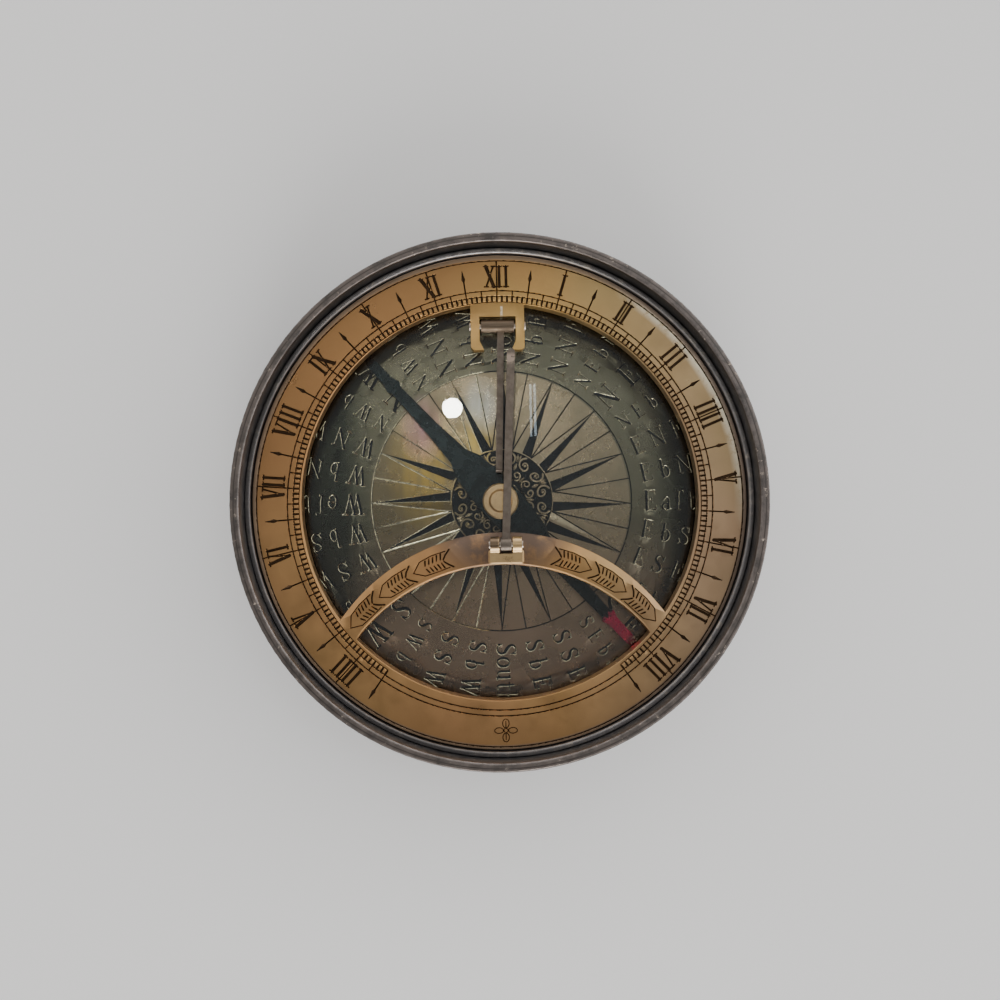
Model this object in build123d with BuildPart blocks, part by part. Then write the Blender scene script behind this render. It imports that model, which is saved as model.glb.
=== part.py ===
"""Pocket sundial compass: a round brass case with a compass under glass and a folding sundial above it.

Millimetres. +Z points up out of the dial face, +Y points to the XII of the hour ring, +X to its east side.
The origin is the centre of the case's underside, on which the dial rests.
"""

import os
from math import radians, tan

from build123d import *

# ---- driving dimensions -------------------------------------------------------------------------
CASE_RADIUS = 37.5          # outside of the case, a 75 mm (3 inch) dial
CASE_HEIGHT = 16.0          # underside to the top of the lip
CASE_BORE = 36.2            # inside of the cup's wall
FLOOR = 1.2                 # thickness of the cup's floor
LIP_EASE = 0.3              # rounding of the lip's edges
FOOT_WIDTH = 3.5            # flat band on which the case stands
FOOT_RECESS = 0.3
FOOT_EDGE = 0.5             # bevel round the foot
LINE_HEIGHT = 2.25          # middle of the line turned round the case's side
LINE_DEPTH = 0.25

RING_TOP = 13.0             # top face of the hour ring, sunk 3 mm below the lip
RING_THICK = 1.8
RING_OUTER = 35.2
RING_INNER = 28.3
RING_SEAT_GAP = 0.15        # ring to the counterbore that holds it

SLEEVE_BORE = 34.4          # bore for the card, the spacers and the glass
SLEEVE_TOP = 13.6           # the bead round the hour ring stands a little proud of it
BEAD_EASE = 0.3
FIT = 0.05                  # clearance between pieces that are pressed or dropped together

CARD_TOP = 6.0
CARD_THICK = 0.8
GLASS_THICK = 1.2
GASKET_THICK = 0.3
GLASS_EASE = 0.2
CARD_SUPPORT_WIDTH = 1.4
SPACER_WIDTH = 1.1
RETAINER_WIDTH = 2.0

TAB_WIDTH = 7.7             # the fork below XII that carries the prop
TAB_END = 21.6              # its prongs end this far north of the centre
TAB_WINDOW_WIDTH = 5.2
TAB_WINDOW_TOP = 26.4
PRONG_CURL = 0.6            # how far each prong's tip turns inwards
PRONG_CURL_LENGTH = 1.3
ROOT_OVERLAP = 0.5          # how far the tab and the arch run into the ring

ARCH_CENTRE_Y = -32.9       # upper edge of the arch
ARCH_RADIUS = 28.3
ARCH_CROWN_WIDTH = 4.6
ARCH_UNDER_RADIUS = 26.5    # lower edge of the arch

GNOMON_X = 0.5              # the bar's hinge stands a little east of the noon line
GNOMON_Y = -6.3
GNOMON_Z = RING_TOP + 1.3
GNOMON_LENGTH = 27.6
GNOMON_WIDTH = 1.1
GNOMON_DEPTH = 1.0
GNOMON_SKEW = 2.7           # degrees that the bar leans east of the noon line
GNOMON_TIP = 0.4            # length of the bar's tapered tip
KNUCKLE_RADIUS = 1.0
KNUCKLE_WIDTH = 1.5

CLEVIS_WIDTH = 5.0
CLEVIS_SLOT = 1.9
CLEVIS_EAR_RADIUS = 1.15
CLEVIS_EAR_WIDTH = 4.4
CLEVIS_BACK_Y = -9.0
CLEVIS_FRONT_Y = -7.0
CLEVIS_TOP = RING_TOP + 1.9
CLEVIS_CORNER = 0.4
CLEVIS_EDGE = 0.25
CLEVIS_WEB = 0.6            # how far the ears run back into the block
CLEVIS_SLOT_BACK_Y = -7.55
RIVET_RADIUS = 0.6
RIVET_HEAD = 1.1
RIVET_HEAD_THICK = 0.35
RIVET_LENGTH = 3.0

PIN_RADIUS = 0.4
PIN_RUNNING_GAP = 0.06
PIN_HEAD_RADIUS = 0.62
PIN_HEAD_THICK = 0.2

PROP_Y = 25.1
PROP_Z = RING_TOP - 0.9
PROP_X = 0.45               # centre of the leg at its barrel
PROP_LENGTH = 21.1
PROP_WIDTH = 0.95
PROP_DEPTH = 0.9
PROP_SKEW = 1.76            # degrees that the leg leans west, which keeps it beside the gnomon
PROP_BARREL_RADIUS = 0.95
PROP_BARREL_WIDTH = 4.7
PROP_NOTCH = 0.45           # radius of the hollow across the leg's tip

NEEDLE_BEARING = -42.0      # degrees clockwise from XII at which the north arm rests
NEEDLE_HALF = 29.8
NEEDLE_BOTTOM = 7.6
NEEDLE_THICK = 0.4
NEEDLE_HUB = 1.2            # hole in the needle for the cap's hub
NEEDLE_WAIST = 3.0          # half the needle's width at its hub
CAP_RADIUS = 2.66
CAP_FLANGE = 0.5            # thickness of the cap's flange on the needle
CAP_EDGE = 0.2              # bevel round the flange
CAP_BOSS = 1.45             # radius of the boss on the flange, at its top
CAP_BOSS_FOOT = 1.75
CAP_BOTTOM = 7.3
CAP_TOP = 9.0
CAP_ROOF = 0.4              # metal over the jewel
JEWEL_RADIUS = 0.7
JEWEL_RIM = 0.12
JEWEL_GAP = 0.05            # jewel to the post's point

POST_TIP = 8.05
POST_POINT = 0.05           # radius of the point
POST_CONE = 0.5
POST_CONE_HEIGHT = 0.9      # the cone's foot above the card
POST_COLLAR = 0.75
POST_COLLAR_HEIGHT = 0.6
POST_FLANGE = 2.0
POST_FLANGE_THICK = 0.35
POST_SHANK = 1.0
POST_TAIL = 0.4             # shank that shows below the nut
WASHER_RADIUS = 2.4
WASHER_THICK = 0.2
NUT_RADIUS = 2.05
NUT_THICK = 1.0

# ---- heights that follow --------------------------------------------------------------------------
RING_BOTTOM = RING_TOP - RING_THICK
GLASS_TOP = RING_BOTTOM - GASKET_THICK
GLASS_BOTTOM = GLASS_TOP - GLASS_THICK
CARD_BOTTOM = CARD_TOP - CARD_THICK
ARCH_UNDER_Y = ARCH_CENTRE_Y + ARCH_RADIUS - ARCH_CROWN_WIDTH - ARCH_UNDER_RADIUS
RIVET_Y = (CLEVIS_BACK_Y + CLEVIS_FRONT_Y) / 2

os.makedirs("parts", exist_ok=True)


def save(piece, name):
    """Label a finished piece and write it under its own name."""
    piece.part.label = name
    export_step(piece.part, f"parts/{name}.step")


# ---- case -----------------------------------------------------------------------------------------
with BuildPart() as case_cup:
    with BuildSketch(Plane.XZ):
        with BuildLine():
            Polyline(
                (0, FOOT_RECESS),
                (CASE_RADIUS - FOOT_WIDTH, FOOT_RECESS),
                (CASE_RADIUS - FOOT_WIDTH + FOOT_RECESS, 0),
                (CASE_RADIUS - FOOT_EDGE, 0),
                (CASE_RADIUS, FOOT_EDGE),
                (CASE_RADIUS, LINE_HEIGHT - LINE_DEPTH),
                (CASE_RADIUS - LINE_DEPTH, LINE_HEIGHT),
                (CASE_RADIUS, LINE_HEIGHT + LINE_DEPTH),
                (CASE_RADIUS, CASE_HEIGHT),
                (CASE_BORE, CASE_HEIGHT),
                (CASE_BORE, FLOOR),
                (0, FLOOR),
                close=True,
            )
        make_face()
    revolve(axis=Axis.Z)
    lip_edges = case_cup.edges().filter_by(GeomType.CIRCLE).group_by(Axis.Z)[-1]
    fillet(lip_edges, LIP_EASE)
save(case_cup, "case_cup")

with BuildPart() as inner_sleeve:
    sleeve_outer = CASE_BORE - FIT
    seat_bore = RING_OUTER + RING_SEAT_GAP
    with BuildSketch(Plane.XZ):
        with BuildLine():
            Polyline(
                (sleeve_outer, FLOOR),
                (sleeve_outer, SLEEVE_TOP),
                (seat_bore, SLEEVE_TOP),
                (seat_bore, RING_BOTTOM),
                (SLEEVE_BORE, RING_BOTTOM),
                (SLEEVE_BORE, FLOOR),
                close=True,
            )
        make_face()
    revolve(axis=Axis.Z)
    bead_edges = inner_sleeve.edges().filter_by(GeomType.CIRCLE).group_by(Axis.Z)[-1]
    fillet(bead_edges, BEAD_EASE)
save(inner_sleeve, "inner_sleeve")

# ---- compass chamber --------------------------------------------------------------------------------
ring_outer = SLEEVE_BORE - FIT
for ring_name, low, high, width in (
    ("card_support_ring", FLOOR, CARD_BOTTOM, CARD_SUPPORT_WIDTH),
    ("glass_spacer_ring", CARD_TOP, GLASS_BOTTOM, SPACER_WIDTH),
    ("glass_retaining_ring", GLASS_TOP, RING_BOTTOM, RETAINER_WIDTH),
):
    with BuildPart() as spacer:
        with BuildSketch(Plane.XY.offset(low)):
            Circle(ring_outer)
            Circle(ring_outer - width, mode=Mode.SUBTRACT)
        extrude(amount=high - low)
    save(spacer, ring_name)

with BuildPart() as compass_card:
    with BuildSketch(Plane.XY.offset(CARD_BOTTOM)):
        Circle(ring_outer)
        Circle(POST_SHANK + FIT, mode=Mode.SUBTRACT)
    extrude(amount=CARD_THICK)
save(compass_card, "compass_card")

with BuildPart() as glass:
    with BuildSketch(Plane.XY.offset(GLASS_BOTTOM)):
        Circle(ring_outer)
    extrude(amount=GLASS_THICK)
    chamfer(glass.edges(), GLASS_EASE)
save(glass, "glass")

with BuildPart() as pivot_post:
    post_foot = CARD_BOTTOM - WASHER_THICK - NUT_THICK - POST_TAIL
    with BuildSketch(Plane.XZ):
        with BuildLine():
            Polyline(
                (0, post_foot),
                (POST_SHANK, post_foot),
                (POST_SHANK, CARD_TOP),
                (POST_FLANGE, CARD_TOP),
                (POST_FLANGE, CARD_TOP + POST_FLANGE_THICK),
                (POST_COLLAR, CARD_TOP + POST_COLLAR_HEIGHT),
                (POST_CONE, CARD_TOP + POST_CONE_HEIGHT),
                (POST_POINT, POST_TIP),
                (0, POST_TIP),
                close=True,
            )
        make_face()
    revolve(axis=Axis.Z)
save(pivot_post, "pivot_post")

with BuildPart() as pivot_washer:
    with BuildSketch(Plane.XY.offset(CARD_BOTTOM - WASHER_THICK)):
        Circle(WASHER_RADIUS)
        Circle(POST_SHANK + FIT, mode=Mode.SUBTRACT)
    extrude(amount=WASHER_THICK)
save(pivot_washer, "pivot_washer")

with BuildPart() as pivot_nut:
    with BuildSketch(Plane.XY.offset(CARD_BOTTOM - WASHER_THICK - NUT_THICK)):
        RegularPolygon(NUT_RADIUS, 6)
        Circle(POST_SHANK + FIT, mode=Mode.SUBTRACT)
    extrude(amount=NUT_THICK)
save(pivot_nut, "pivot_nut")

# ---- needle -----------------------------------------------------------------------------------------
# East side of the north arm, from the hub outwards: a broad body, a thin arm, a small barb, the point.
east_side = [
    (2.9, 3.5),
    (2.4, 7.2),
    (1.5, 9.2),
    (1.05, 15.0),
    (0.8, 22.7),
    (1.2, 23.3),
    (0.8, 24.4),
    (0.75, 28.2),
    (0.05, NEEDLE_HALF),
]
west_side = [(-x, y) for x, y in reversed(east_side)]
north_arm = east_side + west_side
south_arm = [(-x, -y) for x, y in north_arm]
with BuildPart() as needle:
    with BuildSketch(Plane.XY.offset(NEEDLE_BOTTOM).rotated((0, 0, -NEEDLE_BEARING))):
        Polygon(
            *north_arm,
            (-NEEDLE_WAIST, 0),
            *south_arm,
            (NEEDLE_WAIST, 0),
            align=None,
        )
        Circle(NEEDLE_HUB, mode=Mode.SUBTRACT)
    extrude(amount=NEEDLE_THICK)
save(needle, "needle")

with BuildPart() as needle_cap:
    flange_bottom = NEEDLE_BOTTOM + NEEDLE_THICK
    with BuildSketch(Plane.XZ):
        with BuildLine():
            Polyline(
                (JEWEL_RADIUS, CAP_BOTTOM),
                (NEEDLE_HUB, CAP_BOTTOM),
                (NEEDLE_HUB, flange_bottom),
                (CAP_RADIUS, flange_bottom),
                (CAP_RADIUS, flange_bottom + CAP_FLANGE - CAP_EDGE),
                (CAP_RADIUS - CAP_EDGE, flange_bottom + CAP_FLANGE),
                (CAP_BOSS_FOOT, flange_bottom + CAP_FLANGE),
                (CAP_BOSS, CAP_TOP),
                (0, CAP_TOP),
                (0, CAP_TOP - CAP_ROOF),
                (JEWEL_RADIUS, CAP_TOP - CAP_ROOF),
                close=True,
            )
        make_face()
    revolve(axis=Axis.Z)
save(needle_cap, "needle_cap")

with BuildPart() as needle_jewel:
    with BuildSketch(Plane.XZ):
        with BuildLine():
            Polyline(
                (0, POST_TIP + JEWEL_GAP),
                (JEWEL_RADIUS - JEWEL_RIM, NEEDLE_BOTTOM),
                (JEWEL_RADIUS, NEEDLE_BOTTOM),
                (JEWEL_RADIUS, CAP_TOP - CAP_ROOF),
                (0, CAP_TOP - CAP_ROOF),
                close=True,
            )
        make_face()
    revolve(axis=Axis.Z)
save(needle_jewel, "needle_jewel")

# ---- hour ring with its arch and its XII tab ----------------------------------------------------------
with BuildPart() as hour_ring:
    with BuildSketch(Plane.XY.offset(RING_BOTTOM)):
        Circle(RING_OUTER)
        Circle(RING_INNER, mode=Mode.SUBTRACT)
        with BuildSketch(mode=Mode.PRIVATE) as arch:
            with Locations((0, ARCH_CENTRE_Y)):
                Circle(ARCH_RADIUS)
            with Locations((0, ARCH_UNDER_Y)):
                Circle(ARCH_UNDER_RADIUS, mode=Mode.SUBTRACT)
            Circle(RING_INNER + ROOT_OVERLAP, mode=Mode.INTERSECT)
        add(arch.sketch)
        with Locations((0, (TAB_END + RING_INNER + ROOT_OVERLAP) / 2)):
            Rectangle(TAB_WIDTH, RING_INNER + ROOT_OVERLAP - TAB_END)
        with Locations((0, (TAB_END - 1 + TAB_WINDOW_TOP) / 2)):
            Rectangle(TAB_WINDOW_WIDTH, TAB_WINDOW_TOP - TAB_END + 1, mode=Mode.SUBTRACT)
        for side in (1, -1):
            inner = side * TAB_WINDOW_WIDTH / 2
            tip = side * (TAB_WINDOW_WIDTH / 2 - PRONG_CURL)
            Polygon((inner, TAB_END + PRONG_CURL_LENGTH), (tip, TAB_END), (inner, TAB_END), align=None)
    extrude(amount=RING_THICK)
    with Locations((0, PROP_Y, PROP_Z)):
        Cylinder(PIN_RADIUS, TAB_WIDTH + 1, rotation=(0, 90, 0), mode=Mode.SUBTRACT)
    with Locations((GNOMON_X, RIVET_Y, RING_TOP)):
        Hole(RIVET_RADIUS, RING_THICK)
    with Locations((GNOMON_X, RIVET_Y, RING_BOTTOM)):
        Cylinder(RIVET_HEAD, 2 * RIVET_HEAD_THICK, mode=Mode.SUBTRACT)
save(hour_ring, "hour_ring")

# ---- clevis, its rivet and the gnomon's pin -----------------------------------------------------------
with BuildPart() as gnomon_clevis:
    with BuildSketch(Plane.XY.offset(RING_TOP)):
        with Locations((GNOMON_X, RIVET_Y)):
            RectangleRounded(CLEVIS_WIDTH, CLEVIS_FRONT_Y - CLEVIS_BACK_Y, CLEVIS_CORNER)
    extrude(amount=CLEVIS_TOP - RING_TOP)
    chamfer(gnomon_clevis.faces().sort_by(Axis.Z)[-1].edges(), CLEVIS_EDGE)
    with BuildSketch(Plane.YZ.offset(GNOMON_X - CLEVIS_EAR_WIDTH / 2)):
        with Locations((GNOMON_Y, GNOMON_Z)):
            Circle(CLEVIS_EAR_RADIUS)
        with BuildLine():
            Polyline(
                (GNOMON_Y, GNOMON_Z + CLEVIS_EAR_RADIUS),
                (CLEVIS_FRONT_Y - CLEVIS_WEB, CLEVIS_TOP - CLEVIS_EDGE / 2),
                (CLEVIS_FRONT_Y - CLEVIS_WEB, RING_TOP),
                (GNOMON_Y, RING_TOP),
                (GNOMON_Y, GNOMON_Z),
                close=True,
            )
        make_face()
    extrude(amount=CLEVIS_EAR_WIDTH)
    slot_front_y = GNOMON_Y + 2 * CLEVIS_EAR_RADIUS
    with Locations((GNOMON_X, (CLEVIS_SLOT_BACK_Y + slot_front_y) / 2, GNOMON_Z)):
        Box(CLEVIS_SLOT, slot_front_y - CLEVIS_SLOT_BACK_Y, 6 * CLEVIS_EAR_RADIUS, mode=Mode.SUBTRACT)
    with Locations((GNOMON_X, GNOMON_Y, GNOMON_Z)):
        Cylinder(PIN_RADIUS, CLEVIS_WIDTH + 2, rotation=(0, 90, 0), mode=Mode.SUBTRACT)
    with Locations((GNOMON_X, RIVET_Y, RING_TOP)):
        Cylinder(RIVET_RADIUS, 2 * (RIVET_LENGTH - RING_THICK), mode=Mode.SUBTRACT)
save(gnomon_clevis, "gnomon_clevis")

with BuildPart() as clevis_rivet:
    with BuildSketch(Plane.XY.offset(RING_BOTTOM)):
        with Locations((GNOMON_X, RIVET_Y)):
            Circle(RIVET_HEAD)
    extrude(amount=RIVET_HEAD_THICK)
    with BuildSketch(Plane.XY.offset(RING_BOTTOM)):
        with Locations((GNOMON_X, RIVET_Y)):
            Circle(RIVET_RADIUS)
    extrude(amount=RIVET_LENGTH)
save(clevis_rivet, "clevis_rivet")


def hinge_pin(centre, span):
    """A straight pin along X with a small peened head at each end."""
    with BuildPart() as pin:
        with BuildSketch(Plane.YZ.offset(centre[0] - span / 2)):
            with Locations(centre[1:]):
                Circle(PIN_RADIUS)
        extrude(amount=span)
        for end in (centre[0] - span / 2 - PIN_HEAD_THICK, centre[0] + span / 2):
            with BuildSketch(Plane.YZ.offset(end)):
                with Locations(centre[1:]):
                    Circle(PIN_HEAD_RADIUS)
            extrude(amount=PIN_HEAD_THICK)
    return pin


save(hinge_pin((GNOMON_X, GNOMON_Y, GNOMON_Z), CLEVIS_EAR_WIDTH), "gnomon_pin")
save(hinge_pin((0, PROP_Y, PROP_Z), TAB_WIDTH), "prop_pin")

# ---- gnomon --------------------------------------------------------------------------------------------
with BuildPart() as gnomon:
    lean = tan(radians(GNOMON_SKEW))
    half = GNOMON_WIDTH / 2
    tip_x, tip_y = GNOMON_X + lean * GNOMON_LENGTH, GNOMON_Y + GNOMON_LENGTH
    neck_x, neck_y = tip_x - lean * GNOMON_TIP, tip_y - GNOMON_TIP
    with BuildSketch(Plane.XY.offset(GNOMON_Z - GNOMON_DEPTH / 2)):
        with BuildLine():
            Polyline(
                (GNOMON_X - half, GNOMON_Y),
                (GNOMON_X + half, GNOMON_Y),
                (neck_x + half, neck_y),
                (tip_x + half / 2, tip_y),
                (tip_x - half / 2, tip_y),
                (neck_x - half, neck_y),
                close=True,
            )
        make_face()
    extrude(amount=GNOMON_DEPTH)
    with Locations((GNOMON_X, GNOMON_Y, GNOMON_Z)):
        Cylinder(KNUCKLE_RADIUS, KNUCKLE_WIDTH, rotation=(0, 90, 0))
        Cylinder(PIN_RADIUS + PIN_RUNNING_GAP, KNUCKLE_WIDTH + 1, rotation=(0, 90, 0), mode=Mode.SUBTRACT)
save(gnomon, "gnomon")

# ---- prop ----------------------------------------------------------------------------------------------
with BuildPart() as prop_leg:
    lean = tan(radians(PROP_SKEW))
    far_y = PROP_Y - PROP_LENGTH
    far_x = PROP_X - lean * PROP_LENGTH
    with BuildSketch(Plane.XY.offset(PROP_Z - PROP_DEPTH / 2)):
        with BuildLine():
            Polyline(
                (PROP_X - PROP_WIDTH / 2, PROP_Y),
                (PROP_X + PROP_WIDTH / 2, PROP_Y),
                (far_x + PROP_WIDTH / 2, far_y),
                (far_x - PROP_WIDTH / 2, far_y),
                close=True,
            )
        make_face()
    extrude(amount=PROP_DEPTH)
    with Locations((0, PROP_Y, PROP_Z)):
        Cylinder(PROP_BARREL_RADIUS, PROP_BARREL_WIDTH, rotation=(0, 90, 0))
        Cylinder(PIN_RADIUS + PIN_RUNNING_GAP, PROP_BARREL_WIDTH + 1, rotation=(0, 90, 0), mode=Mode.SUBTRACT)
    with Locations((far_x, far_y, PROP_Z + PROP_DEPTH / 2)):
        Cylinder(PROP_NOTCH, PROP_WIDTH + 1, rotation=(0, 90, 0), mode=Mode.SUBTRACT)
save(prop_leg, "prop_leg")
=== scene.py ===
"""Looks of the pocket sundial compass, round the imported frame. Metres, +Z out of the dial, +Y to XII."""
from math import asin, atan2, cos, degrees, hypot, pi, radians, sin, sqrt

import bmesh
import bpy
import numpy as np
from mathutils import Matrix, Vector
from mathutils.geometry import delaunay_2d_cdt


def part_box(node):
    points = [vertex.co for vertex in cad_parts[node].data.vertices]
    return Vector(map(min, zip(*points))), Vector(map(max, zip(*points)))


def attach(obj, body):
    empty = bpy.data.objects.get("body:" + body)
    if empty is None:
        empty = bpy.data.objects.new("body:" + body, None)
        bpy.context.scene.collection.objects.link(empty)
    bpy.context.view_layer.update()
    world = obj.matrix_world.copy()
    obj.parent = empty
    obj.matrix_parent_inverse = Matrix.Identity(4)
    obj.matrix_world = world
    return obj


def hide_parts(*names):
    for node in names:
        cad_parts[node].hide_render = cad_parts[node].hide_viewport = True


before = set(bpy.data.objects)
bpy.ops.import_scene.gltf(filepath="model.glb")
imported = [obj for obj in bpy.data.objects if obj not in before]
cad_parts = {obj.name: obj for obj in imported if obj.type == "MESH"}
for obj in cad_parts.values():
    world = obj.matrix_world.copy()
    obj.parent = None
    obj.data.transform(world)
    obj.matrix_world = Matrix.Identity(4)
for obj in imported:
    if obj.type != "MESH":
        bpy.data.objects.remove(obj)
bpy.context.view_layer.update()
MM = 0.001
SAME = 2e-6  # points closer than this count as one
TINY = 1e-12  # stands in for a length of nothing, so that a division works
FAR = 1e9  # further than any distance on the dial
SHARP_ANGLE = 25  # degrees past which an edge of a plate isn't smoothed
ARC_STEP = 1.5  # degrees between the points of a round outline

# ---- Sizes read from the frame ----
ring_low, ring_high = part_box("hour_ring")
card_low, card_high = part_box("compass_card")
clevis_low, clevis_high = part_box("gnomon_clevis")
LIP_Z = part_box("case_cup")[1][2]
BEAD_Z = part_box("inner_sleeve")[1][2]
RING_R = ring_high[0]
RING_TOP = ring_high[2]
RING_BOTTOM = ring_low[2]
CARD_R = card_high[0]
CARD_TOP = card_high[2]
CARD_BOTTOM = card_low[2]
CLEVIS_FRONT = (clevis_low[1] + clevis_high[1]) / 2

# ---- Plan of the hour ring, repeated from the CAD design ----
RING_INNER = 28.3 * MM
TAB_HALF = 3.85 * MM
TAB_END = 21.6 * MM
TAB_CORNER = 0.4 * MM
WINDOW_HALF = 2.6 * MM
WINDOW_TOP = 26.4 * MM
PRONG_CURL = 0.6 * MM
PRONG_RISE = 1.3 * MM
ARCH_Y = -32.9 * MM
ARCH_R = 28.3 * MM
ARCH_WIDTH = 4.6 * MM
ARCH_UNDER_R = 26.5 * MM
ARCH_UNDER_Y = ARCH_Y + ARCH_R - ARCH_WIDTH - ARCH_UNDER_R


# ---- Relief plates: a flat plate whose top is engraved along strokes and inside outlines ----
def smooth_path(points, steps):
    """Catmull-Rom curve through (x, y, half-width) points, each span in a number of steps."""
    pts = [np.array(p, float) for p in points]
    n = len(pts)
    out = []
    for i in range(n - 1):
        a, b, c, d = (pts[min(max(i + k, 0), n - 1)] for k in (-1, 0, 1, 2))
        for s in range(steps):
            t = s / steps
            out.append(0.5 * (2 * b + (c - a) * t + (2 * a - 5 * b + 4 * c - d) * t * t
                              + (3 * b - a - 3 * c + d) * t ** 3))
    return out + [pts[-1]]


FLAT_FLOOR = 1.3  # a stroke whose half-width is over this many bevels has a flat floor
ROUND_STEPS = (0.3, 0.65, 1.0)  # lines across a plate's rounded edge, as shares of its width
ROUND_DROP = 0.8  # how deep a rounded edge goes, as a share of its width


class Relief:
    """Grooves, sunk areas and raised strokes on a plate, and the height that they give each point."""

    def __init__(self, bevel):
        self.bevel = bevel
        self.outlines = []  # (points, closed) lines that the plate's mesh follows
        self.grooves = []
        self.sunk = []
        self.pads = []
        self.rings = []
        self.centre = (0.0, 0.0)

    def _outline(self, path, grow):
        """The closed outline of a stroke with round ends."""
        left, right = [], []
        for i, (x, y, w) in enumerate(path):
            ax, ay, _ = path[max(i - 1, 0)]
            bx, by, _ = path[min(i + 1, len(path) - 1)]
            length = hypot(bx - ax, by - ay) or TINY
            tx, ty = (bx - ax) / length, (by - ay) / length
            w = max(w + grow, SAME)
            left.append((x - ty * w, y + tx * w))
            right.append((x + ty * w, y - tx * w))
            if i == 0:
                start = self._cap(x, y, -tx, -ty, w)
            if i == len(path) - 1:
                end = self._cap(x, y, tx, ty, w)
        self.outlines.append((left + end + right[::-1] + start, True))

    def _cap(self, x, y, tx, ty, w):
        """Points of a half circle past a stroke's end, from its left side to its right side."""
        turns = (45, 0, -45) if w > self.bevel else (0,)
        return [(x + w * (tx * cos(radians(a)) - ty * sin(radians(a))),
                 y + w * (ty * cos(radians(a)) + tx * sin(radians(a)))) for a in turns]

    def groove(self, path, depth, raised=False):
        """A stroke along path, of (x, y, half-width) points. raised lifts it out of a sunk area instead."""
        self._outline(path, 0.0)
        if min(p[2] for p in path) > self.bevel * FLAT_FLOOR:
            self._outline(path, -self.bevel)
        else:
            self.outlines.append(([(x, y) for x, y, _ in path], False))
        rows = [(*a, *b, depth) for a, b in zip(path, path[1:])]
        (self.pads if raised else self.grooves).extend(rows)

    def hollow(self, corners, depth):
        """A convex sunk area with sloped sides."""
        turn = sum(a[0] * b[1] - a[1] * b[0] for a, b in zip(corners, corners[1:] + corners[:1]))
        if turn < 0:
            corners = corners[::-1]
        self.outlines.append((corners, True))
        self.outlines.append((offset_loop(corners, self.bevel), True))
        self.sunk.append((np.array(corners, float), depth))

    def ring_ground(self, inner, outer, depth):
        """A sunk band between two circles, out of which the raised strokes stand."""
        for r in (inner, inner + self.bevel, outer - self.bevel, outer):
            self.outlines.append((arc(0, 0, r, 0, 360, 3)[:-1], True))
        self.rings.append((inner, outer, depth))

    def move(self, east, north):
        """Shift every mark."""
        self.outlines = [([(x + east, y + north) for x, y in points], closed)
                         for points, closed in self.outlines]
        for rows in (self.grooves, self.pads):
            rows[:] = [(x0 + east, y0 + north, w0, x1 + east, y1 + north, w1, depth)
                       for x0, y0, w0, x1, y1, w1, depth in rows]
        self.sunk = [(corners + np.array((east, north)), depth) for corners, depth in self.sunk]
        self.centre = (east, north)

    def strokes(self, rows, points):
        """Deepest of the strokes at each point, from 0 to each stroke's own depth."""
        best = np.zeros(len(points))
        for x0, y0, w0, x1, y1, w1, depth in rows:
            reach = max(w0, w1)
            near = ((points[:, 0] > min(x0, x1) - reach) & (points[:, 0] < max(x0, x1) + reach)
                    & (points[:, 1] > min(y0, y1) - reach) & (points[:, 1] < max(y0, y1) + reach))
            if not near.any():
                continue
            p = points[near]
            d = np.array([x1 - x0, y1 - y0])
            t = np.clip(((p - (x0, y0)) @ d) / max(d @ d, TINY ** 2), 0, 1)
            away = np.hypot(p[:, 0] - x0 - t * d[0], p[:, 1] - y0 - t * d[1])
            width = w0 + (w1 - w0) * t
            full = np.minimum(self.bevel, np.maximum(width, 1e-7))
            best[near] = np.maximum(best[near], depth * np.clip((width - away) / full, 0, 1))
        return best

    def depth(self, points):
        """How far below the plate's top each point lies."""
        points = np.asarray(points, float)
        low = self.strokes(self.grooves, points)
        for corners, depth in self.sunk:
            inside = np.full(len(points), FAR)
            for a, b in zip(corners, np.roll(corners, -1, axis=0)):
                d = (b - a) / max(np.hypot(*(b - a)), TINY)
                inside = np.minimum(inside, d[0] * (points[:, 1] - a[1]) - d[1] * (points[:, 0] - a[0]))
            low = np.maximum(low, depth * np.clip(inside / self.bevel, 0, 1))
        for inner, outer, depth in self.rings:
            r = np.hypot(points[:, 0] - self.centre[0], points[:, 1] - self.centre[1])
            ground = depth * np.clip(np.minimum(r - inner, outer - r) / self.bevel, 0, 1)
            ground *= 1 - self.strokes(self.pads, points)
            low = np.maximum(low, ground)
        return low


def clean_loop(loop):
    """The loop without points that repeat."""
    out = []
    for p in loop:
        if not out or hypot(p[0] - out[-1][0], p[1] - out[-1][1]) > SAME:
            out.append(p)
    if hypot(out[0][0] - out[-1][0], out[0][1] - out[-1][1]) < SAME:
        out.pop()
    return out


def triangulate(lines):
    """Constrained triangles of every (points, closed) line, worked in mm for the sake of tolerance."""
    points, edges = [], []
    for line_points, closed in lines:
        loop = clean_loop(line_points) if closed else line_points
        first = len(points)
        points += [Vector((x / MM, y / MM)) for x, y in loop]
        n = len(loop)
        edges += [(first + i, first + i + 1) for i in range(n - 1)]
        if closed and n > 2:
            edges.append((first + n - 1, first))
    verts, _, faces, *_ = delaunay_2d_cdt(points, edges, [], 0, 1e-5)
    return np.array([(v.x * MM, v.y * MM) for v in verts]), faces


def mark_sharp(mesh):
    """Smooth shading with sharp edges."""
    bm = bmesh.new()
    bm.from_mesh(mesh)
    for face in bm.faces:
        face.smooth = True
    for edge in bm.edges:
        edge.smooth = edge.is_manifold and edge.calc_face_angle(0) < radians(SHARP_ANGLE)
    bm.to_mesh(mesh)
    bm.free()


def new_object(name, data):
    """An object in the scene round a mesh, light or camera."""
    obj = bpy.data.objects.new(name, data)
    bpy.context.scene.collection.objects.link(obj)
    return obj


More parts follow.
